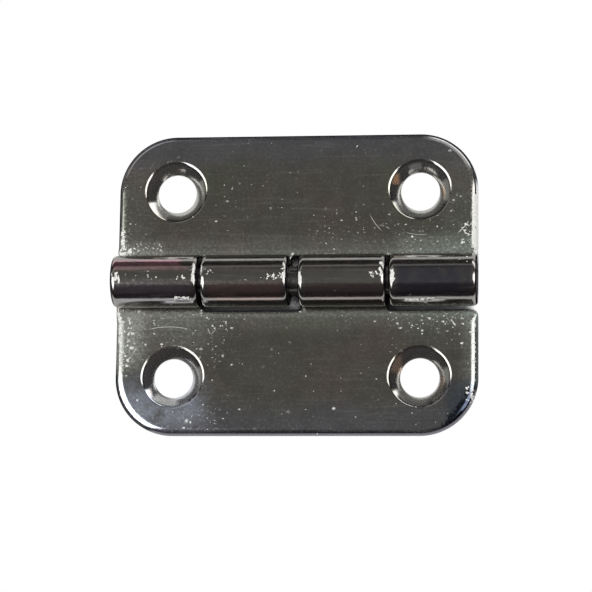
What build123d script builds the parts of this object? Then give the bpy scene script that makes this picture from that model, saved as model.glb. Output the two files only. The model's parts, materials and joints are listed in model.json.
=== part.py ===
"""A small stamped butt hinge: two sheet-steel leaves with rolled knuckles, turning on a plain pin.

The pin lies along X. The leaf that carries the second and fourth knuckles points to +Y, and the
leaf that carries the first and third points to -Y. Both backs lie on the plane z = 0, with the
countersunk faces up. The origin is on that plane, under the middle of the pin.
"""
import os
from math import asin, degrees, radians, tan

from build123d import *

# Driving dimensions, in millimetres.
leaf_length = 50.0          # along the pin
leaf_width = 21.0           # from the pin's axis to the leaf's outer edge
sheet = 1.6                 # thickness of the steel
corner_radius = 8.0         # the two outer corners of each leaf

pin_radius = 1.95
pin_recess = 0.3            # how far each end of the pin lies inside the barrel
pin_end_chamfer = 0.25
pin_clearance = 0.05        # between the pin and the rolled bore, all round

side_gap = 0.7              # between the first and second, and the third and fourth knuckle
middle_gap = 1.4            # between the second and third knuckle
notch_clearance = 0.2       # from the other leaf's knuckle to the edge that makes room for it
notch_corner_radius = 0.6   # where that edge meets a knuckle's root
curl_end_gap = 0.1          # from the end of the rolled strip to the face that it comes back to

hole_inset = 8.0            # from a screw hole to the leaf's end, and to its outer edge
hole_radius = 2.7
countersink_angle = 90.0
hole_land = 0.25            # straight wall left below the countersink
lip_round = 0.8             # worn edge round the countersink

face_edge_round = 0.45      # tumbled edge round the countersunk face, on the three outer sides
face_edge_break = 0.15      # the same face's edges at the notches and inside the knuckles
back_edge_break = 0.25      # round the back and the outside of the knuckles

# Sizes that follow from them. Values closer than same_place count as equal.
same_place = 1e-6
bore_radius = pin_radius + pin_clearance
barrel_radius = bore_radius + sheet
notch_line = barrel_radius + notch_clearance
hole_spacing = leaf_length - 2 * hole_inset
knuckle_length = (leaf_length - 2 * side_gap - middle_gap) / 4
pin_axis = Axis((0, 0, barrel_radius), (1, 0, 0))


def knuckle_starts():
    """Where each of the four knuckles begins along X, from left to right."""
    starts = [-leaf_length / 2]
    for gap in (side_gap, middle_gap, side_gap):
        starts.append(starts[-1] + knuckle_length + gap)
    return starts


def make_plate():
    """The flat part of the leaf, out from the line where it makes room for the other's knuckles."""
    width = leaf_width - notch_line
    outline = Pos(0, notch_line + width / 2) * Rectangle(leaf_length, width)
    outline = fillet(outline.vertices().group_by(Axis.Y)[-1], corner_radius)
    plate = extrude(outline, sheet)
    face_edges = plate.edges().filter_by_position(Axis.Z, sheet, sheet)
    return fillet(face_edges.sort_by(Axis.Y)[1:], face_edge_round)


def make_knuckle(start):
    """A tab that leaves the plate flat and is rolled round the pin until it comes back."""
    middle = start + knuckle_length / 2
    tab = extrude(Pos(middle, notch_line / 2) * Rectangle(knuckle_length, notch_line), sheet)
    strip = Plane.XZ * (Pos(middle, sheet / 2) * Rectangle(knuckle_length, sheet))
    below_level = degrees(asin((barrel_radius - sheet - curl_end_gap) / barrel_radius))
    return tab + revolve(strip, pin_axis, -(270 + below_level))


def skin_rim(leaf, level, radius):
    """The edges all round one skin of the sheet: flat at one level, rolled at one radius."""
    skin = leaf.faces().filter_by(
        lambda f: f.is_planar and abs(f.center().Z - level) < same_place)
    skin += leaf.faces().filter_by(GeomType.CYLINDER).filter_by(
        lambda f: abs(f.radius - radius) < same_place)
    edges = [edge for face in skin for edge in face.edges()]
    return [edge for edge in edges if edges.count(edge) == 1]


def cut_screw_hole(leaf, x):
    """One countersunk hole, with the rounded lip that stamping leaves."""
    cone_height = sheet - hole_land
    lip_radius = hole_radius + cone_height * tan(radians(countersink_angle / 2))
    leaf -= Pos(x, leaf_width - hole_inset, sheet) * CounterSinkHole(
        hole_radius, lip_radius, sheet, countersink_angle)
    lip = leaf.edges().filter_by(GeomType.CIRCLE).filter_by(
        lambda e: abs(e.radius - lip_radius) < same_place and abs(e.arc_center.X - x) < same_place)
    return fillet(lip, lip_round)


def make_leaf():
    """The leaf that points to +Y, with the second and fourth knuckles."""
    leaf = make_plate()
    for start in knuckle_starts()[1::2]:
        leaf += make_knuckle(start)
    roots = leaf.edges().filter_by(Axis.Z).filter_by(
        lambda e: abs(e.center().Y - notch_line) < same_place
        and abs(e.center().X) < leaf_length / 2 - same_place)
    leaf = fillet(roots, notch_corner_radius)
    leaf = chamfer(skin_rim(leaf, 0, barrel_radius), back_edge_break)
    inner_edges = [edge for edge in skin_rim(leaf, sheet, bore_radius)
                   if edge.center().Y < notch_line + same_place]
    leaf = chamfer(inner_edges, face_edge_break)
    for x in (-hole_spacing / 2, hole_spacing / 2):
        leaf = cut_screw_hole(leaf, x)
    return leaf


def make_pin():
    """The plain pin, a little shorter than the barrel, with its ends chamfered."""
    length = leaf_length - 2 * pin_recess
    pin = Pos(0, 0, barrel_radius) * Rot(0, 90, 0) * Cylinder(pin_radius, length)
    return chamfer(pin.edges().filter_by(GeomType.CIRCLE), pin_end_chamfer)


def main():
    """Write one file for each piece."""
    os.makedirs("parts", exist_ok=True)
    upper_leaf = make_leaf()
    pieces = {
        "upper_leaf": upper_leaf,
        "lower_leaf": Rot(0, 0, 180) * upper_leaf,
        "hinge_pin": make_pin(),
    }
    for name, piece in pieces.items():
        export_step(piece, f"parts/{name}.step")


main()
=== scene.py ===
"""The looks of a small stamped hinge: bright plated leaves with rolled knuckles on a plain pin.

Each leaf is made the way the real one is. A flat blank with rounded edges and countersunk holes
is meshed first, in millimetres along the pin (x), along the sheet (s) and through it (w), and its
tabs are then rolled round the pin. Everything else is in metres.
"""
import json
import math

import bpy
import numpy as np
from mathutils import Matrix, Vector
from mathutils.geometry import delaunay_2d_cdt


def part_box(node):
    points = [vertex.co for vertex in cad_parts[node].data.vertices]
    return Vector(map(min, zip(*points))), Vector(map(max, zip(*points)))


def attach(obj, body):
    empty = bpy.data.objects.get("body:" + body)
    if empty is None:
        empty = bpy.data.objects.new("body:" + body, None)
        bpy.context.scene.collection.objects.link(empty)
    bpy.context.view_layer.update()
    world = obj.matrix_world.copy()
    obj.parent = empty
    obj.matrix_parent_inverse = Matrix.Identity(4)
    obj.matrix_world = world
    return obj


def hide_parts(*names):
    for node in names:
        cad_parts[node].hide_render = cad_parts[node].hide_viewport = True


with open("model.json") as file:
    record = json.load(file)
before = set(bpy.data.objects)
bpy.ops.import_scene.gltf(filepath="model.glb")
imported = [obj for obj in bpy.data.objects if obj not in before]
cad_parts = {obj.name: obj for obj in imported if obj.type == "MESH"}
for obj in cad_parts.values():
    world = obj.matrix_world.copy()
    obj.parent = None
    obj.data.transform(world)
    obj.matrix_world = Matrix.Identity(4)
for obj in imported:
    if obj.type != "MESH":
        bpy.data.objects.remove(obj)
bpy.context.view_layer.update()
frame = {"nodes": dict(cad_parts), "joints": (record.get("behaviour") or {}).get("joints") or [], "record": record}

MM = 0.001

# Sizes read from the frame, in millimetres.
_, leaf_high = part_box("upper_leaf")
leaf_length = 2 * leaf_high.x / MM
leaf_width = leaf_high.y / MM
barrel_radius = frame["joints"][0]["pos_m"][2] / MM
screws = next(m for m in frame["record"]["mounts"] if m["name"] == "upper_leaf_screws")
hole_radius = screws["dims"]["hole_r_mm"]
hole_line = screws["pos_m"][1] / MM
hole_half_spacing = screws["dims"]["spacing_x_mm"] / 2

# Sizes that the frame doesn't hold, as in the part's source.
sheet = 1.6
corner_radius = 8.0
side_gap = 0.7
middle_gap = 1.4
notch_clearance = 0.2
notch_corner_radius = 0.6
curl_end_gap = 0.1
hole_land = 0.25
lip_round = 0.8

# How much longer than there the knuckles are where they face a narrow gap, as photographed.
tab_reach = 0.15

# Worn edges, finer than the part's source breaks them: slopes in degrees, radius and mesh steps.
back_round = (              # round the back, which becomes the outside of the rolls
    (0, 26, 1.00, 5),
    (26, 62, 0.55, 5),
    (62, 90, 0.30, 3),
)
roll_over = (               # round the face
    (0, 18, 2.4, 7),
    (18, 48, 0.75, 6),
    (48, 70, 1.20, 4),
    (70, 90, 0.30, 3),
)
notch_share = 0.36          # of the face's rounding in the notches and inside the rolls
share_start = 0.5           # how far from the notches' line it starts to grow to the whole
share_length = 1.2          # how far from there it has grown
back_plate_share = 0.7      # of the back's rounding round the plate
small_corner_radius = 0.8   # in plan, where the punch cut square corners
land_round = 0.07
cone_slopes = (45.0, 37.0)  # degrees, at the foot of the countersink and at its lip

# What counts as cut edge, which is made rough and painted with shade, as its upright wall and as
# countersink: where each begins, and over how much it fades in. The first two go by how far
# outward the surface leans, from 0 to 1.
sheared_shade_lean = 0.60
sheared_shade_lean_at_ends = 0.44     # on the back's edge, along the leaf's two ends
leaf_end_depth = 0.4            # how far in those ends reach
sheared_shade_fade = 0.06
wall_lean = 0.955
wall_fade = 0.03
countersunk_drop = 0.1          # below the face
countersunk_fade = 0.15

# Mesh steps.
plate_step = 0.45
corner_step = 0.25
roll_step_degrees = 3.0
hole_steps = 96

# How far the flat skin's points stay from the border, which is the outline and the holes.
line_gap = 0.05
ring_gap = 0.3
sideways_gap = 0.24             # from a border point at the same level
rolled_sideways_gap = 0.18      # the same, on the tabs
level_gap = 0.2                 # how near counts as the same level

notch_line = barrel_radius + notch_clearance
mid_radius = barrel_radius - sheet / 2
knuckle_length = (leaf_length - 2 * side_gap - middle_gap) / 4
roll_angle = 1.5 * math.pi + math.asin((barrel_radius - sheet - curl_end_gap) / barrel_radius)
roll_length = mid_radius * roll_angle


def roll_up(points, normals):
    """Rolls blank points (x, s, w) with s below zero round the pin, and turns their normals."""
    x, s, w = points.T
    angle = np.where(s < 0, -s / mid_radius, 0.0)
    radius = barrel_radius - w
    flat = s >= 0
    y = np.where(flat, s, -radius * np.sin(angle))
    z = np.where(flat, w, barrel_radius - radius * np.cos(angle))
    along = normals[:, 1] * np.where(flat, 1.0, mid_radius / radius)
    through = normals[:, 2]
    rolled = np.stack([
        normals[:, 0],
        along * np.cos(angle) + through * np.sin(angle),
        through * np.cos(angle) - along * np.sin(angle),
    ], axis=1)
    rolled /= np.linalg.norm(rolled, axis=1, keepdims=True)
    return np.stack([x, y, z], axis=1), rolled


def grid_lines():
    """Where mesh lines cross the blank: along x, and along s, closer together in the rolls."""
    across = np.arange(line_gap - leaf_length / 2, leaf_length / 2, plate_step)
    across = np.round(across, 6)
    turns = max(8, round(math.degrees(roll_angle) / roll_step_degrees))
    rolls = -np.arange(1, turns) * roll_length / turns
    plate = np.arange(0.0, leaf_width, plate_step)
    return across, np.sort(np.concatenate([rolls, plate]))


def rounded_outline(corners, lines_s):
    """Points and outward normals round an anticlockwise outline of square corners, each given by
    its x, its s and its radius."""
    points, normals = [], []
    count = len(corners)
    for i, (x, s, radius) in enumerate(corners):
        here = np.array([x, s])
        before = np.array(corners[i - 1][:2])
        after = np.array(corners[(i + 1) % count][:2])
        way_in = (here - before) / np.linalg.norm(here - before)
        way_out = (after - here) / np.linalg.norm(after - here)
        turn = np.sign(way_in[0] * way_out[1] - way_in[1] * way_out[0])
        centre = here - way_in * radius + way_out * radius
        steps = max(5, round(radius * math.pi / 2 / corner_step))
        for k in range(steps + 1):
            angle = k / steps * math.pi / 2
            toward = -way_out * math.cos(angle) + way_in * math.sin(angle)
            points.append(centre + toward * radius)
            normals.append(toward * turn)
        start, end = here + way_out * radius, after - way_out * corners[(i + 1) % count][2]
        outward = np.array([way_out[1], -way_out[0]])
        if abs(way_out[1]) > 0.5:
            lowest, highest = sorted((start[1], end[1]))
            between = [v for v in lines_s if lowest + line_gap < v < highest - line_gap]
            between = sorted(between, reverse=way_out[1] < 0)
            inner = [np.array([x, v]) for v in between]
        else:
            pieces = max(1, round(np.linalg.norm(end - start) / plate_step))
            inner = [start + (end - start) * k / pieces for k in range(1, pieces)]
        points.extend(inner)
        normals.extend([outward] * len(inner))
    return np.array(points), np.array(normals)


def leaf_corners():
    """The blank's outline, anticlockwise, with the tabs of the second and fourth knuckles."""
    end = leaf_length / 2
    second = -end + knuckle_length + side_gap - tab_reach
    second_end = second + knuckle_length + tab_reach
    fourth = end - knuckle_length - tab_reach
    small, root = small_corner_radius, notch_corner_radius
    return [
        (-end, notch_line, small),
        (second, notch_line, root),
        (second, -roll_length, small),
        (second_end, -roll_length, small),
        (second_end, notch_line, root),
        (fourth, notch_line, root),
        (fourth, -roll_length, small),
        (end, -roll_length, small),
        (end, leaf_width, corner_radius),
        (-end, leaf_width, corner_radius),
    ]


def rounding(zones):
    """A rounded edge from its surface out to the outline. Each row gives the distance in from the
    outline, the depth below the surface and the normal (outward, away from the surface)."""
    inset = depth = 0.0
    rows = [(0.0, 0.0, 0.0, 1.0)]
    for first, last, radius, steps in zones:
        for k in range(steps):
            start = math.radians(first + (last - first) * k / steps)
            end = math.radians(first + (last - first) * (k + 1) / steps)
            inset += radius * (math.sin(end) - math.sin(start))
            depth += radius * (math.cos(start) - math.cos(end))
            rows.append((inset, depth, math.sin(end), math.cos(end)))
    return [(inset - i, d, across, up) for i, d, across, up in rows]


def edge_profile():
    """The edge from back to face, with normals (outward, up) and whether a row is the face's."""
    back = [(inset, depth, across, -up, False) for inset, depth, across, up in rounding(back_round)]
    face = [(*row, True) for row in reversed(rounding(roll_over))]
    return back + face


def edge_share(outline):
    """How much of the full roll-over each outline point has: all of it round the plate, and little
    in the notches and along the tabs."""
    s = outline[:, 1]
    free = np.clip((s - notch_line - share_start) / share_length, 0, 1)
    free = free * free * (3 - 2 * free)
    return notch_share + (1 - notch_share) * free


def hole_profile():
    """A countersunk hole from back to face: radius, height, and its normal (outward, up)."""
    def arc(radius_at, height_at, size, first, last, steps):
        """A convex arc whose normals lean towards the hole's axis, from level first to last."""
        for k in range(steps + 1):
            angle = first + (last - first) * k / steps
            yield (radius_at - size * math.sin(angle), height_at + size * math.cos(angle),
                   -math.sin(angle), math.cos(angle))

    quarter = math.pi / 2
    steep, shallow = math.radians(cone_slopes[0]), math.radians(cone_slopes[1])
    lip_drop = lip_round * (1 - math.cos(shallow))
    sweep = (sheet - hole_land - lip_drop) / (math.cos(shallow) - math.cos(steep))
    low_edge = hole_radius + land_round * (1 - math.sin(steep))
    cone_centre = low_edge + sweep * math.sin(steep)
    cone_base = hole_land - sweep * math.cos(steep)
    lip = cone_centre + (lip_round - sweep) * math.sin(shallow)
    knee = hole_land - land_round * math.cos(steep)
    rows = list(arc(hole_radius + land_round, land_round, land_round, 2 * quarter, quarter, 3))
    rows += list(arc(hole_radius + land_round, knee, land_round, quarter, steep, 3))
    rows += list(arc(cone_centre, cone_base, sweep, steep, shallow, 7))[1:]
    rows += list(arc(lip, sheet - lip_round, lip_round, shallow, 0, 8))[1:]
    return rows


def inside(points, outline):
    """Which points lie inside a closed outline."""
    x, s = points.T
    found = np.zeros(len(points), bool)
    ax, a_s = outline.T
    bx, b_s = np.roll(outline, -1, axis=0).T
    for i in range(len(outline)):
        crosses = (a_s[i] > s) != (b_s[i] > s)
        slope = (bx[i] - ax[i]) / (b_s[i] - a_s[i]) if b_s[i] != a_s[i] else 0.0
        found ^= crosses & (x < ax[i] + (s - a_s[i]) * slope)
    return found


def skin_triangles(outline, rings, lines):
    """Triangles over the flat skin between an outline and its holes. Returns the points added
    inside it and the triangles, which count the outline first, then the rings, then those."""
    border = np.concatenate([outline, *rings])
    grid = np.array([(x, s) for x in lines[0] for s in lines[1]])
    grid = grid[inside(grid, outline)]
    keep = np.ones(len(grid), bool)
    for ring in rings:
        middle = ring.mean(axis=0)
        reach = np.linalg.norm(ring[0] - middle) + ring_gap
        keep &= np.linalg.norm(grid - middle, axis=1) > reach
    grid = grid[keep]
    far_off = leaf_length
    room, sideways = [], []
    for point in grid:
        off = np.abs(border - point)
        room.append(off.max(axis=1).min())
        sideways.append(np.where(off[:, 1] < level_gap, off[:, 0], far_off).min())
    near = np.where(grid[:, 1] < 0, rolled_sideways_gap, sideways_gap)
    grid = grid[(np.array(room) > line_gap) & (np.array(sideways) > near)]
    edges, first = [], 0
    for loop in (outline, *rings):
        edges += [(first + i, first + (i + 1) % len(loop)) for i in range(len(loop))]
        first += len(loop)
    flat = [Vector(p) for p in np.concatenate([border, grid])]
    # Of what comes back, the third list is the faces, and the fourth says which of the given points
    # each of its vertices is.
    made = delaunay_2d_cdt(flat, edges, [], 0, 1e-7)
    triangles = np.array([[made[3][v][0] for v in face] for face in made[2]])
    at = np.array(flat)[triangles]
    middles = at.mean(axis=1)
    good = inside(middles, outline)
    for ring in rings:
        centre = ring.mean(axis=0)
        good &= np.linalg.norm(middles - centre, axis=1) > np.linalg.norm(ring[0] - centre) * 0.995
    turn = np.cross(at[:, 1] - at[:, 0], at[:, 2] - at[:, 0])
    triangles = np.where((turn > 0)[:, None], triangles, triangles[:, ::-1])
    return grid, triangles[good]


def blank_mesh():
    """The whole blank: its vertices (x, s, w), their normals, how far each is on the cut edge painted
    with shade, on its upright wall and in a countersink, and its faces."""
    lines = grid_lines()
    outline, outward = rounded_outline(leaf_corners(), lines[1])
    share = edge_share(outline)
    back_share = 1 - (1 - back_plate_share) * (share - notch_share) / (1 - notch_share)
    at_end = np.abs(outline[:, 0]) > leaf_length / 2 - leaf_end_depth
    edge_rows = []
    for inset, depth, across, up, face in edge_profile():
        scale = share if face else back_share
        height = sheet - depth * scale if face else depth * scale
        shade_from = np.where(at_end & (not face), sheared_shade_lean_at_ends, sheared_shade_lean)
        sheared_and_shaded = np.clip((across - shade_from) / sheared_shade_fade, 0, 1)
        wall = np.full(len(outline), np.clip((across - wall_lean) / wall_fade, 0, 1))
        edge_rows.append((outline - outward * inset * scale[:, None], outward * across, height, up,
                          np.stack([sheared_and_shaded, wall, 0 * wall], axis=1)))
    turn = np.arange(hole_steps) / hole_steps * 2 * math.pi
    round_way = np.stack([np.cos(turn), np.sin(turn)], axis=1)
    hole_rows = []
    for side in (-1, 1):
        centre = np.array([side * hole_half_spacing, hole_line])
        rows = []
        for radius, height, across, up in hole_profile():
            sunk = (sheet - countersunk_drop - height) / countersunk_fade
            rows.append((centre + round_way * radius, round_way * across, height, up,
                         (0, 0, min(max(sunk, 0.0), 1.0))))
        hole_rows.append(rows)

    vertices, normals, zones, faces = [], [], [], []

    def add(flat, level_normals, height, up, zone):
        """Adds vertices at one height, or each at its own. Returns the first one's number."""
        first = sum(len(v) for v in vertices)
        zones.append(np.broadcast_to(zone, (len(flat), 3)))
        vertices.append(np.column_stack([flat, np.broadcast_to(height, len(flat))]))
        normals.append(np.column_stack([level_normals, np.full(len(flat), up)]))
        return first

    def join(lower, upper, count, outer):
        """Joins two loops of vertices by quads."""
        for i in range(count):
            j = (i + 1) % count
            quad = (lower + i, lower + j, upper + j, upper + i)
            faces.append(quad if outer else quad[::-1])

    loops = []
    for loop_rows, outer in ((edge_rows, True), (hole_rows[0], False), (hole_rows[1], False)):
        starts = [add(*row) for row in loop_rows]
        count = len(loop_rows[0][0])
        for lower, upper in zip(starts, starts[1:]):
            join(lower, upper, count, outer)
        loops.append((starts, count, loop_rows))

    for level, height, up in ((0, 0.0, -1.0), (-1, sheet, 1.0)):
        outline_here = loops[0][2][level][0]
        rings = [loop[2][level][0] for loop in loops[1:]]
        grid, triangles = skin_triangles(outline_here, rings, lines)
        first = add(grid, np.zeros((len(grid), 2)), height, up, (0, 0, 0))
        index = np.concatenate([np.arange(loop[1]) + loop[0][level] for loop in loops]
                               + [np.arange(len(grid)) + first])
        triangles = index[triangles]
        faces.extend(map(tuple, triangles if up > 0 else triangles[:, ::-1]))
    return np.concatenate(vertices), np.concatenate(normals), np.concatenate(zones), faces


# Keeps the two leaves' noise apart, in millimetres.
lower_leaf_shift = (211.0, 97.0, 0.0)

# Where the hinge is marked and where highlights are painted on it, in plan and in millimetres: soft
# rectangles with left, right, low and high edges, soft width and strength.
# Pits, with painted highlight specks along the knuckles' tops.
pitted_and_highlit = [
    (-25.2, -23.2, 4.2, 8.3, 0.5, 0.9), (-25.2, -18.0, 3.9, 5.8, 0.7, 0.8),
    (-25.2, -21.0, -11.0, -4.0, 1.2, 0.85), (-22.4, -17.0, -0.3, 0.9, 0.3, 0.35),
    (-7.0, -1.2, -0.6, 0.4, 0.3, 0.4), (16.0, 24.0, 0.9, 1.5, 0.3, 0.3),
    (-13.0, -1.0, 4.0, 17.0, 3.0, 0.06), (13.0, 24.5, -9.0, -4.0, 1.5, 0.35),
    (-20.0, -8.0, -13.0, -4.2, 2.0, 0.3), (2.0, 24.0, 4.0, 10.0, 2.0, 0.3),
    (-16.5, -10.0, -19.5, -16.0, 1.5, 0.4), (20.5, 25.5, 2.0, 12.0, 0.8, 0.5),
]
# Bright blotches: painted highlights on the knuckles' rims and ends and on the leaves' edges, and bright scuffing
# on the plates.
scuffs_and_highlights = [      # bright blotches
    (-25.2, -23.4, -0.9, 0.9, 0.35, 0.86), (-15.8, -14.2, -0.5, 0.6, 0.35, 0.70),
    (-23.2, -18.6, -0.5, 0.5, 0.4, 0.48), (-17.2, -13.7, -2.95, -2.5, 0.2, 0.97),
    (-13.8, -13.2, -0.7, 1.7, 0.2, 0.95), (-12.9, -12.2, -1.2, 1.8, 0.25, 0.90),
    (-12.4, -10.6, 0.2, 1.4, 0.35, 0.65), (-3.6, -1.2, -0.6, 0.5, 0.35, 0.75),
    (-1.5, -0.8, -0.8, 1.6, 0.2, 0.85), (10.4, 12.4, -0.4, 0.8, 0.35, 0.78),
    (11.7, 12.5, 0.2, 2.0, 0.25, 0.85), (0.75, 1.35, -1.1, 0.7, 0.2, 1.1),
    (13.3, 13.9, -1.1, 0.9, 0.2, 1.1), (15.0, 19.4, -3.20, -2.85, 0.15, 0.95),
    (-25.0, -22.5, 3.9, 5.4, 0.4, 0.85), (-25.0, -23.9, 3.9, 8.2, 0.4, 0.82),
    (-25.0, -18.5, 4.9, 5.8, 0.4, 0.70), (-25.2, -22.2, -11.5, -4.2, 0.9, 0.58),
    (22.5, 25.0, 3.9, 9.0, 0.9, 0.55), (-25.0, -22.5, -20.0, -4.0, 0.6, 0.45),
    (12.0, 24.0, -7.0, -4.0, 1.0, 0.48), (-14.0, -8.0, -7.5, -4.0, 1.5, 0.48),
    (24.2, 25.4, 3.8, 12.5, 0.3, 1.25), (-25.0, -24.3, -8.5, -3.9, 0.25, 1.0),
    (23.3, 25.2, -16.8, -14.3, 0.3, 0.80), (24.1, 25.4, -13.6, -4.4, 0.25, 0.72),
]
dusty = [       # haze, where the strengths add up
    (-26.0, 26.0, 3.8, 4.7, 0.3, 0.28), (-26.0, 26.0, -4.7, -3.8, 0.3, 0.34),
    (-26.0, -21.5, -12.0, -3.5, 1.6, 0.75), (-26.0, 26.0, 3.6, 6.2, 1.3, 0.26),
    (-26.0, 26.0, -6.2, -3.8, 1.4, 0.24), (-23.0, -12.0, -10.0, -4.0, 2.5, 0.30),
    (14.0, 25.0, -8.5, -3.6, 2.0, 0.08), (-25.5, -19.0, 3.8, 5.6, 1.0, 0.30),
    (-24.0, -12.0, -20.5, -15.0, 2.5, 0.22), (14.0, 26.0, 3.8, 6.5, 1.6, 0.32),
    (23.0, 25.6, -14.0, -3.5, 1.0, 0.30), (-26.0, -20.5, 5.0, 17.5, 2.0, 0.14),
    (20.5, 26.0, 5.0, 17.5, 2.0, 0.14),
]


def patches(points, table, combine):
    """How strongly each point lies in the rectangles of a table, combined by sum or maximum."""
    total = np.zeros(len(points))
    for left, right, low, high, soft, strength in table:
        shown = strength
        for values, first, last in ((points[:, 0], left, right), (points[:, 1], low, high)):
            off = np.abs(values - (first + last) / 2) - (last - first) / 2
            level = np.clip((soft - off) / (2 * soft), 0, 1)
            shown = shown * level * level * (3 - 2 * level)
        total = combine(total, shown)
    return total


def painted_rim_shade(points):
    """How far the rim's bright reflection is painted over with shade round the lower right corner."""
    right = points[:, 0] - hole_half_spacing
    up = points[:, 1] + hole_line
    outward = np.clip((np.hypot(right, up) - 6.2) / 0.9, 0, 1)
    low = np.clip((-13.4 - points[:, 1]) / 3.4, 0, 1)
    return outward * np.clip((right - 2.5) / 2.5, 0, 1) * low


def make_leaf(name, half_turn):
    """One rolled leaf. The lower leaf is the same stamping, turned half a turn."""
    vertices, normals, zones, faces = blank_mesh()
    points, turned = roll_up(vertices, normals)
    if half_turn:
        points = points * (-1, -1, 1)
        turned = turned * (-1, -1, 1)
    mesh = bpy.data.meshes.new(name)
    mesh.from_pydata((points * MM).tolist(), [], [list(map(int, f)) for f in faces])
    mesh.shade_smooth()
    mesh.normals_split_custom_set_from_vertices(turned.tolist())
    place = mesh.attributes.new("sheet_place", "FLOAT_VECTOR", "POINT")
    shift = lower_leaf_shift if half_turn else (0.0, 0.0, 0.0)
    place.data.foreach_set("vector", (vertices + shift).astype(np.float32).ravel())
    # Masks for the cut edges' painted shade, for pits and bright blotches with painted highlights among them, for
    # the haze, and for the painted shade over the lower right rim.
    fields = {
        "sheared_and_shaded": zones[:, 0],
        "upright": zones[:, 1],
        "countersunk": zones[:, 2],
        "pitted_and_highlit": patches(points, pitted_and_highlit, np.maximum),
        "scuffed_and_highlit": patches(points, scuffs_and_highlights, np.maximum),
        "dusty": patches(points, dusty, np.add),
        "rim_shade": painted_rim_shade(points),
    }
    for title, values in fields.items():
        field = mesh.attributes.new(title, "FLOAT", "POINT")
        field.data.foreach_set("value", values.astype(np.float32))
    leaf = bpy.data.objects.new(name, mesh)
    bpy.context.collection.objects.link(leaf)
    return leaf


def nodes_of(owner):
    """Clears the nodes of a material or world. Returns its tree."""
    owner.use_nodes = True
    owner.node_tree.nodes.clear()
    return owner.node_tree


def put(tree, value, socket):
    """Sets a socket to a number or colour, or links it to another socket."""
    if isinstance(value, bpy.types.NodeSocket):
        tree.links.new(value, socket)
    else:
        socket.default_value = value


def math_node(tree, operation, *values):
    """One Math node."""
    made = tree.nodes.new("ShaderNodeMath")
    made.operation = operation
    for value, socket in zip(values, made.inputs):
        put(tree, value, socket)
    return made.outputs[0]


def ramp(tree, value, low, high, first=0.0, last=1.0, smooth=True):
    """Goes from first to last as a value goes from low to high, and stays there beyond them."""
    made = tree.nodes.new("ShaderNodeMapRange")
    made.interpolation_type = "SMOOTHSTEP" if smooth else "LINEAR"
    for socket, number in zip(made.inputs[:5], (value, low, high, first, last)):
        put(tree, number, socket)
    return made.outputs[0]


def mix_colour(tree, factor, first, second, mode="MIX"):
    """A mix of two colours."""
    made = tree.nodes.new("ShaderNodeMix")
    made.data_type = "RGBA"
    made.blend_type = mode
    put(tree, factor, made.inputs[0])
    for value, socket in ((first, made.inputs[6]), (second, made.inputs[7])):
        put(tree, value if isinstance(value, bpy.types.NodeSocket) else (*value, 1), socket)
    return made.outputs[2]


def attribute(tree, name, output="Fac"):
    """A named attribute of the mesh."""
    made = tree.nodes.new("ShaderNodeAttribute")
    made.attribute_name = name
    return made.outputs[output]


def scaled(tree, vector, factor):
    """A vector times a number, or times three."""
    made = tree.nodes.new("ShaderNodeVectorMath")
    made.operation = "MULTIPLY"
    tree.links.new(vector, made.inputs[0])
    made.inputs[1].default_value = factor if isinstance(factor, tuple) else (factor,) * 3
    return made.outputs[0]


def noise(tree, vector, scale, detail=2.0, stretch=(1, 1, 1)):
    """Soft noise from 0 to 1."""
    made = tree.nodes.new("ShaderNodeTexNoise")
    tree.links.new(scaled(tree, vector, stretch), made.inputs["Vector"])
    made.inputs["Scale"].default_value = scale
    made.inputs["Detail"].default_value = detail
    return made.outputs["Fac"]


def times(tree, *values):
    """The product of several values."""
    result = values[0]
    for value in values[1:]:
        result = math_node(tree, "MULTIPLY", result, value)
    return result


def rest_of(tree, value):
    """What a value leaves of one."""
    return math_node(tree, "SUBTRACT", 1.0, value)


def most(tree, *values):
    """The greatest of several values."""
    result = values[0]
    for value in values[1:]:
        result = math_node(tree, "MAXIMUM", result, value)
    return result


def patch(tree, x, y, left, right, low, high, soft):
    """A soft-edged rectangle of the hinge in plan, in millimetres."""
    masks = []
    for value, first, last in ((x, left, right), (y, low, high)):
        off = math_node(tree, "ABSOLUTE", math_node(tree, "SUBTRACT", value, (first + last) / 2))
        half = (last - first) / 2
        masks.append(ramp(tree, off, half + soft, half - soft))
    return times(tree, *masks)


def specks(tree, place, cell, size, chance, seed):
    """Small round specks, one at most in a cell. A cell has one where its draw is under chance."""
    made = tree.nodes.new("ShaderNodeTexVoronoi")
    made.voronoi_dimensions = "2D"
    moved = tree.nodes.new("ShaderNodeVectorMath")
    moved.operation = "ADD"
    tree.links.new(place, moved.inputs[0])
    moved.inputs[1].default_value = (seed * 13.7, seed * 7.3, 0)
    tree.links.new(moved.outputs[0], made.inputs["Vector"])
    made.inputs["Scale"].default_value = 1 / cell
    draw = tree.nodes.new("ShaderNodeSeparateColor")
    tree.links.new(made.outputs["Color"], draw.inputs[0])
    drawn = math_node(tree, "LESS_THAN", draw.outputs[0], chance)
    reach = ramp(tree, draw.outputs[1], 0, 1, size * 0.4 / cell, size / cell, smooth=False)
    edge = math_node(tree, "DIVIDE", made.outputs["Distance"], reach)
    dot = ramp(tree, edge, 1.0, 0.5)
    strength = math_node(tree, "POWER", draw.outputs[2], 2.2)
    return times(tree, drawn, dot, ramp(tree, strength, 0, 1, 0.18, 1.0, smooth=False))


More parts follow.
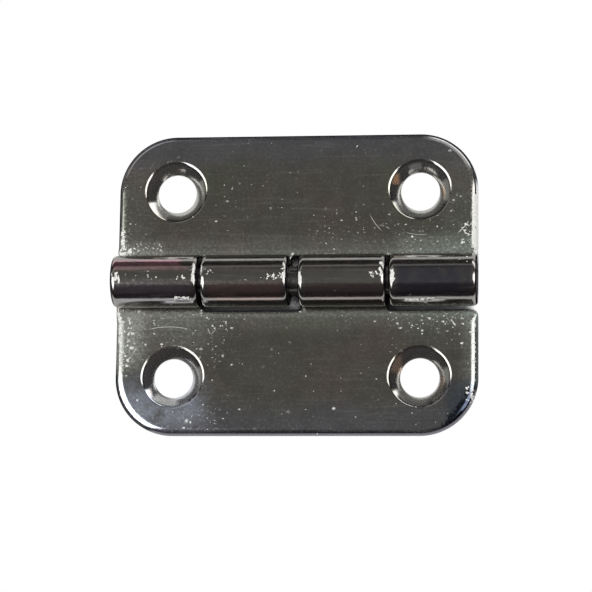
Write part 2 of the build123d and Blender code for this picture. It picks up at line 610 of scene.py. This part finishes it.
def line_mark(tree, x, y, first, last, width):
    """A straight band from first to last, in plan, used for scratches and painted highlights."""
    run, rise = last[0] - first[0], last[1] - first[1]
    length = math.hypot(run, rise)
    run, rise = run / length, rise / length
    dx = math_node(tree, "SUBTRACT", x, first[0])
    dy = math_node(tree, "SUBTRACT", y, first[1])
    along = math_node(tree, "ADD", times(tree, dx, run), times(tree, dy, rise))
    aside = math_node(tree, "SUBTRACT", times(tree, dx, rise), times(tree, dy, run))
    middle = math_node(tree, "ABSOLUTE", math_node(tree, "SUBTRACT", along, length / 2))
    return times(tree, ramp(tree, math_node(tree, "ABSOLUTE", aside), width / 2, width / 6),
                 ramp(tree, middle, length / 2 + width / 2, length / 2 - width))


def arc_mark(tree, x, y, centre, radius, start, end, width):
    """A band along an arc, in plan, used for scratches and painted highlights. Its angles are in degrees."""
    dx = math_node(tree, "SUBTRACT", x, centre[0])
    dy = math_node(tree, "SUBTRACT", y, centre[1])
    square = math_node(tree, "ADD", times(tree, dx, dx), times(tree, dy, dy))
    off = math_node(tree, "SUBTRACT", math_node(tree, "SQRT", square), radius)
    off = math_node(tree, "ABSOLUTE", off)
    middle = math.radians((start + end) / 2)
    turn = math_node(tree, "SUBTRACT", math_node(tree, "ARCTAN2", dy, dx), middle)
    turn = math_node(tree, "ABSOLUTE", math_node(tree, "WRAP", turn, math.pi, -math.pi))
    half = math.radians(abs(end - start)) / 2
    return times(tree, ramp(tree, off, width / 2, width / 6), ramp(tree, turn, half, half * 0.5))


# Stains, scratches and painted highlights, in plan and in millimetres.
stains = [      # on the rolls: left, right, low, high, soft width, haze and colour
    (-24.6, -15.3, 1.50, 2.40, 0.45, 0.05, (0.74, 0.38, 0.46)),
    (-24.4, -14.4, 0.9, 1.5, 0.2, 0, (0.44, 0.32, 0.33)),
    (-11.4, -1.6, -3.0, -0.9, 0.5, 0, (0.44, 0.335, 0.305)),
    (-24.2, -14.4, -3.0, -0.9, 0.5, 0, (0.36, 0.34, 0.375)),
    (14.2, 24.2, -2.5, 1.3, 0.5, 0, (0.176, 0.176, 0.222)),
    (2.0, 11.6, -3.0, -1.0, 0.5, 0, (0.33, 0.27, 0.27)),
]
# The first four arcs are scratches; the others are painted reflections in the countersinks and painted highlights
# along the upper corners' rims.
arcs = [        # centre, radius, first and last angle in degrees, width and strength
    ((17.2, 12.9), 7.85, 203, 228, 0.12, 0.55), ((17.2, 12.9), 7.85, -52, -32, 0.16, 0.8),
    ((17.2, 12.9), 6.25, 246, 282, 0.12, 0.5), ((-17.6, -17.6), 11.6, 72, 108, 0.13, 0.6),
    ((-17.0, -13.0), 3.45, 215, 292, 1.7, 0.46), ((-17.0, 13.0), 3.45, 190, 266, 1.7, 0.14),
    ((-17.0, 13.0), 3.35, 255, 345, 1.1, 0.08), ((17.0, 13.0), 3.45, 82, 122, 1.2, 0.20),
    ((17.0, -13.0), 3.45, 215, 300, 1.6, 0.14), ((17.0, 13.0), 7.4, 14, 92, 0.7, 0.40),
    ((-17.0, 13.0), 7.35, 100, 172, 0.30, 0.14),
]
# Lines five to nine, at the notches' corners, are painted highlights.
lines = [       # start, end, width and strength
    ((20.3, -4.0), (21.2, -5.6), 0.15, 0.35), ((21.2, -5.6), (21.9, -4.5), 0.15, 0.35),
    ((21.9, -4.5), (22.9, -3.9), 0.15, 0.35), ((-15.05, -19.25), (-14.7, -18.8), 0.6, 1.0),
    ((-13.3, -4.15), (-12.9, -4.05), 0.55, 1.0), ((0.35, -3.95), (0.85, -4.0), 0.30, 0.9),
    ((12.9, -4.2), (13.25, -4.1), 0.34, 0.9), ((-0.8, 3.9), (-0.35, 4.3), 0.45, 1.0),
    ((12.4, 3.85), (12.8, 4.1), 0.5, 1.0), ((-12.2, -6.2), (-11.8, -7.1), 0.13, 0.5),
    ((-11.7, -7.1), (-11.0, -6.3), 0.13, 0.5),
]

# Areas painted apart from the rest: two tinted corners, a corner edge left lighter, a side with a
# painted highlight and two painted glints in countersinks. Each has left, right, low and high edges,
# and soft width.
pale_corner = (-24.5, -13.0, -19.8, -13.5, 2.5)
blue_corner = (20.5, 26.0, -19.0, -13.5, 1.5)
lit_corner_edge = (18.0, 26.0, -22.0, -15.5, 1.0)
highlit_side = (24.0, 26.0, 3.2, 14.0, 0.7)
upper_glint = (12.9, 14.1, 13.9, 15.4, 0.35)
lower_glint = (12.8, 14.6, -12.4, -9.8, 0.5)

plate_colour = (0.325, 0.318, 0.288)
lavender = (0.360, 0.362, 0.415)
brown = (0.355, 0.318, 0.290)
green = (0.320, 0.332, 0.275)
rolled_colour = (0.315, 0.305, 0.290)
pale_corner_colour = (0.74, 0.80, 1.0)
blue_corner_colour = (0.17, 0.22, 0.30)
# Painted shade over the rim round the lower right corner and on the cut edges, a lighter lavender grey for the
# front edge, and a painted highlight at one side.
rim_shade_colour = (0.040, 0.048, 0.075)
edge_shade_colour = (0.030, 0.028, 0.034)
front_edge_colour = (0.220, 0.216, 0.250)
side_highlight_colour = (0.9, 0.9, 0.9)
countersunk_colour = (0.60, 0.60, 0.59)
glint_colour = (0.85, 0.46, 0.22)
# Specks and blotches, painted highlights among them.
speck_and_highlight_colour = (0.92, 0.92, 0.88)
dust_colour = (0.36, 0.38, 0.35)
green_dust_colour = (0.36, 0.42, 0.39)
grazing_colour = (1.0, 1.0, 1.0)
# Painted shade on the cut edges' grazing reflection.
shaded_grazing_colour = (0.06, 0.06, 0.07)
# The pin's colour is painted dark for the shade in the gaps between the knuckles.
shaded_pin_colour = (0.17, 0.165, 0.16)


def plate_dust(tree, place, grainy, cloudy, face, countersunk):
    """How dusty the metal is: thinly in grains and streaks, and thickly in the dusty areas."""
    streaks = noise(tree, place, 1.0, 2.0, (0.15, 3.0, 1))
    dust = ramp(tree, grainy, 0.45, 0.75, 0.0, 0.10)
    haze = times(tree, attribute(tree, "dusty"), ramp(tree, grainy, 0.3, 0.7, 0.70, 1.0))
    dust = math_node(tree, "ADD", dust, haze)
    dust = times(tree, dust, face, rest_of(tree, countersunk))
    dust = math_node(tree, "ADD", dust, times(tree, ramp(tree, streaks, 0.54, 0.75), 0.11))
    flecks = ramp(tree, noise(tree, place, 3.6, 2.0), 0.62, 0.74)
    flecks = times(tree, flecks, face, ramp(tree, cloudy, 0.42, 0.6), 0.15)
    dust = math_node(tree, "ADD", dust, flecks)
    return math_node(tree, "MINIMUM", dust, 0.8)


def warped(tree, place):
    """The place on the sheet, bent a little, so that the specks on it aren't all round."""
    warp = tree.nodes.new("ShaderNodeTexNoise")
    tree.links.new(place, warp.inputs["Vector"])
    warp.inputs["Scale"].default_value = 3.2
    bent = tree.nodes.new("ShaderNodeVectorMath")
    bent.operation = "MULTIPLY_ADD"
    tree.links.new(warp.outputs["Color"], bent.inputs[0])
    bent.inputs[1].default_value = (0.34, 0.34, 0)
    tree.links.new(place, bent.inputs[2])
    return scaled(tree, bent.outputs[0], (0.78, 1.1, 1.0))


def plate_marks_and_highlights(tree, x, y, place, cloudy, rolled, face, unmarked):
    """How bright the specks, blotches, scratches and painted highlights are: specks and blotches where
    the metal isn't left unmarked, and arcs and lines on the face. Many blotches and some specks are
    painted highlights on the knuckles and the edges; some arcs are painted reflections in the
    countersinks and along the corners' rims, and some lines are painted highlights at the notches' corners."""
    chance = math_node(tree, "MAXIMUM", attribute(tree, "pitted_and_highlit"), 0.03)
    chance = times(tree, chance, ramp(tree, cloudy, 0.3, 0.6, 0.3, 1.0))
    chance = math_node(tree, "SUBTRACT", chance, times(tree, rolled, 0.02))
    bent = warped(tree, place)
    fine = specks(tree, bent, 0.42, 0.12, times(tree, chance, 1.2), 1)
    middling = specks(tree, bent, 0.85, 0.21, times(tree, chance, 0.9), 2)
    large = specks(tree, bent, 2.4, 0.30, math_node(tree, "ADD", times(tree, chance, 0.4), 0.04), 3)
    marks_and_highlights = most(tree, times(tree, fine, 0.8), middling, large)
    scuffed_and_highlit = attribute(tree, "scuffed_and_highlit")
    blotches = math_node(tree, "ADD", noise(tree, place, 2.3, 4.0), times(tree, scuffed_and_highlit, 0.4))
    blotches = times(tree, ramp(tree, blotches, 0.80, 0.87), ramp(tree, scuffed_and_highlit, 0.1, 0.3))
    marks_and_highlights = times(tree, most(tree, marks_and_highlights, blotches), rest_of(tree, unmarked))
    for centre, radius, start, end, width, strength in arcs:
        mark = arc_mark(tree, x, y, centre, radius, start, end, width)
        marks_and_highlights = most(tree, marks_and_highlights, times(tree, mark, strength, face))
    for first, last, width, strength in lines:
        mark = line_mark(tree, x, y, first, last, width)
        marks_and_highlights = most(tree, marks_and_highlights, times(tree, mark, strength, face))
    return marks_and_highlights


def plated_metal():
    """Dark bright plating over stamped steel: pits, fine scratches, a dusty haze beside the barrel,
    faint tints, paler countersinks and rough cut edges. Painted on it are shade on the cut edges and
    highlights and glints on the knuckles, the edges, the corners' rims and the countersinks."""
    material = bpy.data.materials.new("plated_leaf")
    tree = nodes_of(material)
    plan = scaled(tree, tree.nodes.new("ShaderNodeTexCoord").outputs["Object"], 1 / MM)
    parts = tree.nodes.new("ShaderNodeSeparateXYZ")
    tree.links.new(plan, parts.inputs[0])
    x, y, z = parts.outputs
    place = attribute(tree, "sheet_place", "Vector")
    # Where the cut edges are made rough and painted with shade.
    sheared_and_shaded = attribute(tree, "sheared_and_shaded")
    countersunk = attribute(tree, "countersunk")
    off_pin = math_node(tree, "ABSOLUTE", y)
    rolled = times(tree, ramp(tree, off_pin, barrel_radius + 0.2, barrel_radius - 0.1),
                   ramp(tree, z, sheet + 0.3, sheet + 0.8))
    face = ramp(tree, z, sheet + 0.15, sheet + 0.05)

    # Tints of the plating and of two corners, and stains on the rolls.
    broad = noise(tree, place, 0.10, 2.0)
    cloudy = noise(tree, place, 0.45, 3.0)
    grainy = noise(tree, place, 2.6, 3.0)
    colour = mix_colour(tree, ramp(tree, broad, 0.50, 0.66), plate_colour, brown)
    colour = mix_colour(tree, ramp(tree, broad, 0.46, 0.34), colour, green)
    far = ramp(tree, math_node(tree, "ADD", off_pin, times(tree, broad, 4.0)), 16.5, 21.5, 0, 0.85)
    colour = mix_colour(tree, far, colour, lavender)
    pale = times(tree, patch(tree, x, y, *pale_corner), ramp(tree, cloudy, 0.2, 0.55))
    colour = mix_colour(tree, pale, colour, pale_corner_colour)
    blue = times(tree, patch(tree, x, y, *blue_corner), 0.7)
    colour = mix_colour(tree, blue, colour, blue_corner_colour)
    colour = mix_colour(tree, rolled, colour, rolled_colour)
    shade = ramp(tree, cloudy, 0.3, 0.7, 0.93, 1.07)
    colour = mix_colour(tree, 1.0, colour, shade, "MULTIPLY")
    film = 0.0
    for left, right, low, high, soft, haze, tint in stains:
        spread = times(tree, patch(tree, x, y, left, right, low, high, soft), rolled)
        film = math_node(tree, "ADD", film, times(tree, spread, haze))
        spread = times(tree, spread, ramp(tree, cloudy, 0.25, 0.55, 0.4, 1.0))
        colour = mix_colour(tree, spread, colour, tint)

    # Edges: the cut edges painted near black as shade, but left a lighter lavender grey along the
    # front, on a corner edge and on the upright walls, and painted near white as a highlight at one
    # side. Painted shade also breaks up the rim's reflection round the lower right corner, and two
    # countersinks get painted glints.
    # Painted shade: near black blotches over the rim's reflection round the lower right corner.
    rim_shade = attribute(tree, "rim_shade")
    rim_shaded = math_node(tree, "ADD", grainy, times(tree, rim_shade, 0.5))
    rim_shaded = times(tree, ramp(tree, rim_shaded, 0.60, 0.78), ramp(tree, rim_shade, 0.0, 0.25))
    colour = mix_colour(tree, rim_shaded, colour, rim_shade_colour)
    front = ramp(tree, y, -20.1, -20.5)
    # Painted highlight: the edge along the upper leaf's right side is painted near white.
    side_highlight = patch(tree, x, y, *highlit_side)
    corner_edge = patch(tree, x, y, *lit_corner_edge)
    front = most(tree, front, corner_edge, attribute(tree, "upright"))
    side = mix_colour(tree, front, edge_shade_colour, front_edge_colour)
    side = mix_colour(tree, side_highlight, side, side_highlight_colour)
    colour = mix_colour(tree, sheared_and_shaded, colour, side)
    glint = patch(tree, x, y, *upper_glint)
    glint = most(tree, glint, times(tree, patch(tree, x, y, *lower_glint), 0.5))
    glint = times(tree, glint, countersunk)
    shaded_edge = times(tree, sheared_and_shaded, rest_of(tree, most(tree, front, side_highlight)))

    dust = plate_dust(tree, place, grainy, cloudy, face, countersunk)
    unmarked = most(tree, shaded_edge, countersunk)
    marks_and_highlights = plate_marks_and_highlights(tree, x, y, place, cloudy, rolled, face, unmarked)

    hazy = mix_colour(tree, ramp(tree, x, 8.0, 20.0), dust_colour, green_dust_colour)
    colour = mix_colour(tree, dust, colour, hazy)
    colour = mix_colour(tree, times(tree, countersunk, 0.6), colour, countersunk_colour)
    colour = mix_colour(tree, times(tree, glint, 0.8), colour, glint_colour)
    colour = mix_colour(tree, marks_and_highlights, colour, speck_and_highlight_colour)
    film = most(tree, film, marks_and_highlights, times(tree, dust, 0.5), times(tree, countersunk, 0.05),
                times(tree, glint, 0.35))
    bare = rest_of(tree, film)
    rough = ramp(tree, grainy, 0.3, 0.7, 0.07, 0.13)
    rough = math_node(tree, "ADD", rough, times(tree, dust, 0.25))
    rough = math_node(tree, "ADD", rough, times(tree, rolled, 0.05))
    rough = most(tree, rough, times(tree, countersunk, 0.13), times(tree, sheared_and_shaded, 0.32),
                 times(tree, marks_and_highlights, 0.6))

    ripple = noise(tree, place, 0.55, 1.0)
    dents = noise(tree, place, 1.3, 0.0)
    height = math_node(tree, "ADD", times(tree, ripple, 0.010),
                       times(tree, dents, ramp(tree, rolled, 0, 1, 0.0006, 0.006)))
    height = math_node(tree, "ADD", height, times(tree, marks_and_highlights, -0.006))
    bump = tree.nodes.new("ShaderNodeBump")
    bump.inputs["Distance"].default_value = MM
    tree.links.new(height, bump.inputs["Height"])

    shader = tree.nodes.new("ShaderNodeBsdfPrincipled")
    tree.links.new(colour, shader.inputs["Base Color"])
    tree.links.new(bare, shader.inputs["Metallic"])
    # Painted shade: the cut edges' grazing reflection is tinted near black.
    grazing = mix_colour(tree, shaded_edge, grazing_colour, shaded_grazing_colour)
    tree.links.new(grazing, shader.inputs["Specular Tint"])
    tree.links.new(rough, shader.inputs["Roughness"])
    tree.links.new(bump.outputs[0], shader.inputs["Normal"])
    out = tree.nodes.new("ShaderNodeOutputMaterial")
    tree.links.new(shader.outputs[0], out.inputs["Surface"])
    return material


def pin_wire():
    """Plain drawn wire: duller than the plate, with faint lines along it, and painted dark for the
    shade it lies in between the knuckles.
    """
    material = bpy.data.materials.new("pin_steel")
    tree = nodes_of(material)
    plan = scaled(tree, tree.nodes.new("ShaderNodeTexCoord").outputs["Object"], 1 / MM)
    drawn = noise(tree, plan, 1.0, 3.0, (0.3, 9.0, 9.0))
    shade = ramp(tree, drawn, 0.3, 0.7, 0.8, 1.1)
    colour = mix_colour(tree, 1.0, shaded_pin_colour, shade, "MULTIPLY")
    shader = tree.nodes.new("ShaderNodeBsdfPrincipled")
    tree.links.new(colour, shader.inputs["Base Color"])
    shader.inputs["Metallic"].default_value = 1.0
    tree.links.new(ramp(tree, drawn, 0.3, 0.7, 0.24, 0.34), shader.inputs["Roughness"])
    out = tree.nodes.new("ShaderNodeOutputMaterial")
    tree.links.new(shader.outputs[0], out.inputs["Surface"])
    return material


floor_gap = 0.02        # below the backs, in millimetres
shadow_reach = 8.0      # of the floor's soft shadow, in millimetres


def make_stage():
    """A floor that keeps the hinge's shadow in the gaps and close round its edges. Elsewhere the
    camera looks through it at the white behind, so that a leaf swung down below it shows, and metal
    mirrors it as white."""
    size = 4.0
    mesh = bpy.data.meshes.new("floor")
    corners = [(-size, -size, 0), (size, -size, 0), (size, size, 0), (-size, size, 0)]
    mesh.from_pydata(corners, [], [(0, 1, 2, 3)])
    floor = bpy.data.objects.new("floor", mesh)
    floor.location.z = -floor_gap * MM
    bpy.context.collection.objects.link(floor)
    material = bpy.data.materials.new("floor")
    tree = nodes_of(material)
    shade = tree.nodes.new("ShaderNodeBsdfDiffuse")
    cover = tree.nodes.new("ShaderNodeAmbientOcclusion")
    cover.samples = 16
    cover.inputs["Distance"].default_value = shadow_reach * MM
    path = tree.nodes.new("ShaderNodeLightPath")
    seen = ramp(tree, cover.outputs["AO"], 0.22, 0.44)
    mirrored = ramp(tree, cover.outputs["AO"], 0.68, 0.97)
    grey = ramp(tree, cover.outputs["AO"], 0.20, 0.50, 0.08, 0.93)
    tree.links.new(grey, shade.inputs["Color"])
    seen = times(tree, seen, path.outputs["Is Camera Ray"])
    glossy = most(tree, path.outputs["Is Glossy Ray"], path.outputs["Is Transmission Ray"])
    mirrored = times(tree, mirrored, glossy, 0.73)
    share = most(tree, seen, mirrored)
    glow = tree.nodes.new("ShaderNodeMixShader")
    tree.links.new(path.outputs["Is Camera Ray"], glow.inputs[0])
    tree.links.new(tree.nodes.new("ShaderNodeEmission").outputs[0], glow.inputs[1])
    tree.links.new(tree.nodes.new("ShaderNodeBsdfTransparent").outputs[0], glow.inputs[2])
    mix = tree.nodes.new("ShaderNodeMixShader")
    tree.links.new(share, mix.inputs[0])
    tree.links.new(shade.outputs[0], mix.inputs[1])
    tree.links.new(glow.outputs[0], mix.inputs[2])
    out = tree.nodes.new("ShaderNodeOutputMaterial")
    tree.links.new(mix.outputs[0], out.inputs["Surface"])
    mesh.materials.append(material)


# Soft boxes round the hinge: azimuths and elevations in degrees, soft edge, brightness and colour.
# The metal shows them as the white crescents on its rounded edges.
soft_boxes = [
    (164, 229, 36, 69, 3, 4.4, (1.0, 1.0, 1.0)),      # front left
    (-30, 28, 41, 71, 3, 4.4, (1.0, 1.0, 1.0)),       # right
    (103, 150, 29, 45, 3, 0.55, (1.0, 0.96, 0.92)),   # back left
    (35, 103, 30, 35, 3, 0.45, (1.0, 0.98, 0.93)),    # back
    (38, 84, 10, 27, 3, 2.6, (1.0, 0.99, 0.96)),      # low, back right
    (146, 190, 2, 18, 3, 0.30, (1.0, 1.0, 0.95)),     # low, left
]
room_colour = (0.070, 0.060, 0.063)
card_colour = (0.180, 0.176, 0.163)
card_tilt = 10.0        # degrees towards the back
card_reach = 34.0       # degrees from its middle to its edge
card_soft = 6.0


def make_world():
    """A dim room with a grey card overhead and soft boxes round it. The camera sees white instead
    of it."""
    world = bpy.data.worlds.new("room")
    bpy.context.scene.world = world
    tree = nodes_of(world)
    way = tree.nodes.new("ShaderNodeTexCoord").outputs["Generated"]
    parts = tree.nodes.new("ShaderNodeSeparateXYZ")
    tree.links.new(way, parts.inputs[0])
    x, y, z = parts.outputs
    azimuth = math_node(tree, "ARCTAN2", y, x)
    elevation = math_node(tree, "ARCSINE", z)
    along = tree.nodes.new("ShaderNodeVectorMath")
    along.operation = "DOT_PRODUCT"
    tree.links.new(way, along.inputs[0])
    tilt = math.radians(card_tilt)
    along.inputs[1].default_value = (0, math.sin(tilt), math.cos(tilt))
    overhead = ramp(tree, along.outputs["Value"], math.cos(math.radians(card_reach + card_soft)),
                    math.cos(math.radians(card_reach - card_soft)))
    dim = ramp(tree, elevation, math.radians(15), math.radians(40), 0.45, 1.0)
    room = mix_colour(tree, 1.0, room_colour, dim, "MULTIPLY")
    colour = mix_colour(tree, overhead, room, card_colour)
    for *edges, power, tint in soft_boxes:
        left, right, low, high, soft = (math.radians(angle) for angle in edges)
        half = (right - left) / 2
        off = math_node(tree, "SUBTRACT", azimuth, (left + right) / 2)
        off = math_node(tree, "ABSOLUTE", math_node(tree, "WRAP", off, math.pi, -math.pi))
        across = ramp(tree, off, half + soft, half - soft)
        rise = (high - low) / 2
        off = math_node(tree, "ABSOLUTE", math_node(tree, "SUBTRACT", elevation, low + rise))
        above = ramp(tree, off, rise + soft, max(rise - soft, 0.0))
        mask = times(tree, across, above)
        colour = mix_colour(tree, mask, colour, tuple(c * power for c in tint))
    path = tree.nodes.new("ShaderNodeLightPath")
    colour = mix_colour(tree, path.outputs["Is Camera Ray"], colour, (1, 1, 1))
    back = tree.nodes.new("ShaderNodeBackground")
    tree.links.new(colour, back.inputs["Color"])
    out = tree.nodes.new("ShaderNodeOutputWorld")
    tree.links.new(back.outputs[0], out.inputs["Surface"])


def make_camera():
    """The photograph's view: from above, a little to the right of the hinge and in front of it."""
    eye = Vector((34.4, -54.6, 300.0)) * MM
    target = Vector((4.8, -6.5, 0.0)) * MM
    roll = math.radians(-0.6)
    forward = (target - eye).normalized()
    right = forward.cross(Vector((math.sin(roll), math.cos(roll), 0))).normalized()
    up = right.cross(forward)
    data = bpy.data.cameras.new("camera")
    data.lens = 134.9
    data.sensor_width = 36.0
    data.shift_x, data.shift_y = -0.06, 0.06
    data.clip_start = 0.01
    camera = bpy.data.objects.new("camera", data)
    turn = Matrix((right, up, -forward)).transposed()
    camera.matrix_world = Matrix.Translation(eye) @ turn.to_4x4()
    bpy.context.collection.objects.link(camera)
    bpy.context.scene.camera = camera


bpy.context.scene.view_settings.view_transform = "Standard"
make_camera()
make_stage()
make_world()

leaf_metal = plated_metal()
pin_metal = pin_wire()

for name, half_turn in (("upper_leaf", False), ("lower_leaf", True)):
    leaf = make_leaf(name + "_metal", half_turn)
    leaf.data.materials.append(leaf_metal)
    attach(leaf, name)
    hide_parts(name)

pin = frame["nodes"]["hinge_pin"]
pin.material_slots[0].material = pin_metal
